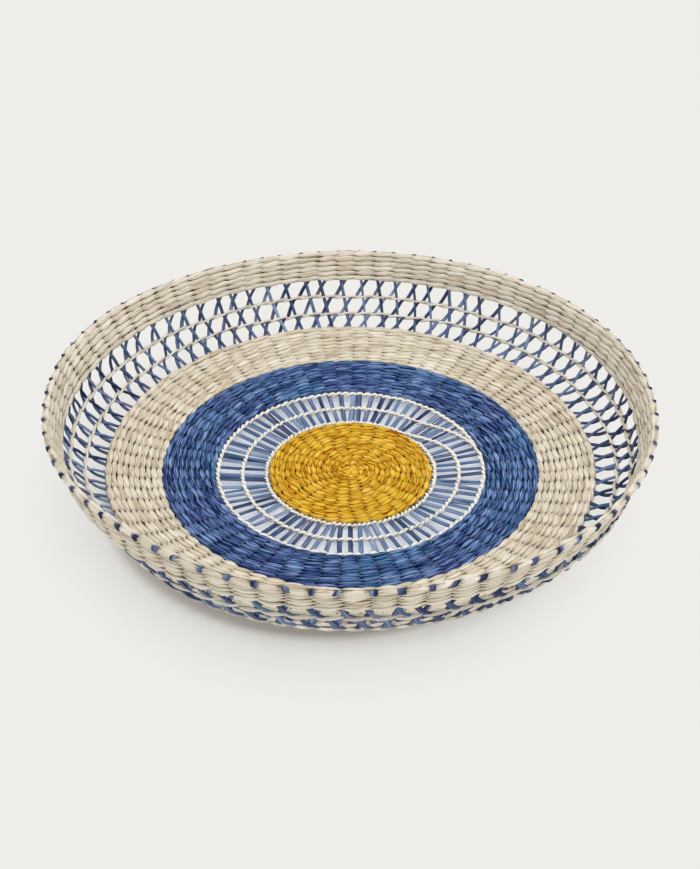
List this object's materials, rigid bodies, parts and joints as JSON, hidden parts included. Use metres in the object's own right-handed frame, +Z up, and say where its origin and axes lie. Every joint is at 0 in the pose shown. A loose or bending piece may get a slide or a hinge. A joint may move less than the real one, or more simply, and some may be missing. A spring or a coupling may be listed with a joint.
{
  "type": "woven seagrass basket",
  "caption": "Shallow round bowl basket of twined seagrass with a dyed base of rings, an open lattice wall and a woven rim.",
  "frame": {"origin": "on the table under the middle of the base", "axes": "+Z up through the bowl's mouth, -Y towards the front of the picture"},
  "size_m": [0.397, 0.397, 0.0782],
  "materials": {
    "yellow_seagrass": "dyed twined seagrass, matt with a faint sheen",
    "blue_seagrass": "dyed twined seagrass, matt, uneven dye",
    "blue_stakes": "dyed flat seagrass strips, matt, uneven dye",
    "cream_cord": "bleached twined cord, matt",
    "natural_cord": "natural twined cord, matt",
    "natural_seagrass": "natural twined seagrass, matt with fine fibres"
  },
  "bodies": {
    "root": {"centre_start": "yellow_seagrass", "yellow_weft": "yellow_seagrass", "open_stakes_01": "blue_stakes", "open_stakes_02": "blue_stakes", "open_stakes_03": "blue_stakes", "open_stakes_04": "blue_stakes", "open_stakes_05": "blue_stakes", "open_stakes_06": "blue_stakes", "open_stakes_07": "blue_stakes", "open_stakes_08": "blue_stakes", "open_cord_upper": "cream_cord", "open_cord_lower": "cream_cord", "blue_weft": "blue_seagrass", "natural_weft": "natural_seagrass", "lattice_stakes_inside_01": "blue_stakes", "lattice_stakes_inside_02": "blue_stakes", "lattice_stakes_inside_03": "blue_stakes", "lattice_stakes_inside_04": "blue_stakes", "lattice_stakes_inside_05": "blue_stakes", "lattice_stakes_inside_06": "blue_stakes", "lattice_stakes_inside_07": "blue_stakes", "lattice_stakes_inside_08": "blue_stakes", "lattice_stakes_outside_01": "blue_stakes", "lattice_stakes_outside_02": "blue_stakes", "lattice_stakes_outside_03": "blue_stakes", "lattice_stakes_outside_04": "blue_stakes", "lattice_stakes_outside_05": "blue_stakes", "lattice_stakes_outside_06": "blue_stakes", "lattice_stakes_outside_07": "blue_stakes", "lattice_stakes_outside_08": "blue_stakes", "lattice_cord_lower_inside": "natural_cord", "lattice_cord_lower_outside": "natural_cord", "lattice_cord_upper_inside": "natural_cord", "lattice_cord_upper_outside": "natural_cord", "rim_weft": "natural_seagrass", "rim_stake_ends": "blue_stakes"}
  },
  "joints": []
}
